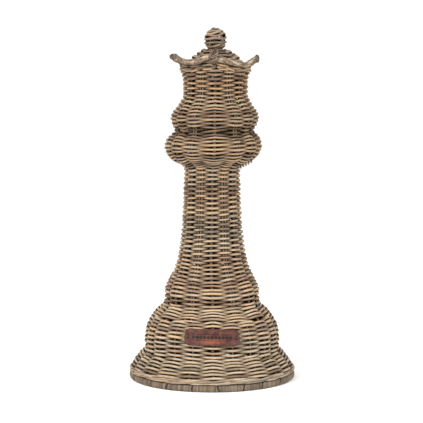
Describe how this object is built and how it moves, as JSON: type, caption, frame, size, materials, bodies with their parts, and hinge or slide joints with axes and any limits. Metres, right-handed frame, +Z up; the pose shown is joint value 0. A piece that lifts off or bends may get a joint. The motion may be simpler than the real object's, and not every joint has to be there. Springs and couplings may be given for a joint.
{
  "type": "giant chess queen",
  "caption": "Hollow chess queen woven from rattan on a cane frame, with a flared round foot, a waisted column, a crown of upturned rods, an open ball finial and a leather label.",
  "frame": {"origin": "centre of the round foot, on the ground", "axes": "+Z up along the piece's own axis; the leather label faces -Y; +X is to the right of someone who faces the label"},
  "size_m": [0.286, 0.287, 0.6006],
  "materials": {
    "weave": "matt natural rattan, grey-beige to tan",
    "stake_cane": "matt pale rattan",
    "frame_cane": "matt rattan, darkened inside the weave",
    "bark_cane": "rough grey-brown rattan with its bark",
    "rim_peel": "dull grooved rattan peel, grey-brown",
    "lashing": "matt pale rattan peel",
    "label_leather": "worn red-brown leather",
    "label_lace": "thin red-brown leather lace"
  },
  "bodies": {
    "root": {"border_weave": "weave", "collar_weave": "weave", "column_weave": "weave", "crown_hoop": "frame_cane", "crown_neck_weave": "weave", "crown_rod_1": "bark_cane", "crown_rod_2": "bark_cane", "crown_rod_3": "bark_cane", "crown_rod_4": "bark_cane", "drum_hoop": "frame_cane", "drum_weave": "weave", "finial_ball": "weave", "finial_stem": "frame_cane", "frame_pole_1": "frame_cane", "frame_pole_2": "frame_cane", "frame_pole_3": "frame_cane", "frame_pole_4": "frame_cane", "frame_pole_5": "frame_cane", "frame_pole_6": "frame_cane", "frame_pole_7": "frame_cane", "ground_hoop": "frame_cane", "head_weave": "weave", "label_tie_left": "label_lace", "label_tie_right": "label_lace", "leather_label": "label_leather", "neck_hoop": "frame_cane", "neck_lashing": "lashing", "rim_wrap": "rim_peel", "roof_weave": "weave", "shoulder_hoop": "frame_cane", "shoulder_weave": "weave", "skirt_weave": "weave", "stake_1a": "stake_cane", "stake_1b": "stake_cane", "stake_2a": "stake_cane", "stake_2b": "stake_cane", "stake_3a": "stake_cane", "stake_3b": "stake_cane", "stake_4a": "stake_cane", "stake_4b": "stake_cane", "stake_5a": "stake_cane", "stake_5b": "stake_cane", "stake_6a": "stake_cane", "stake_6b": "stake_cane", "stake_7a": "stake_cane", "stake_7b": "stake_cane", "stem_lashing": "lashing", "waist_hoop": "frame_cane"}
  },
  "joints": []
}
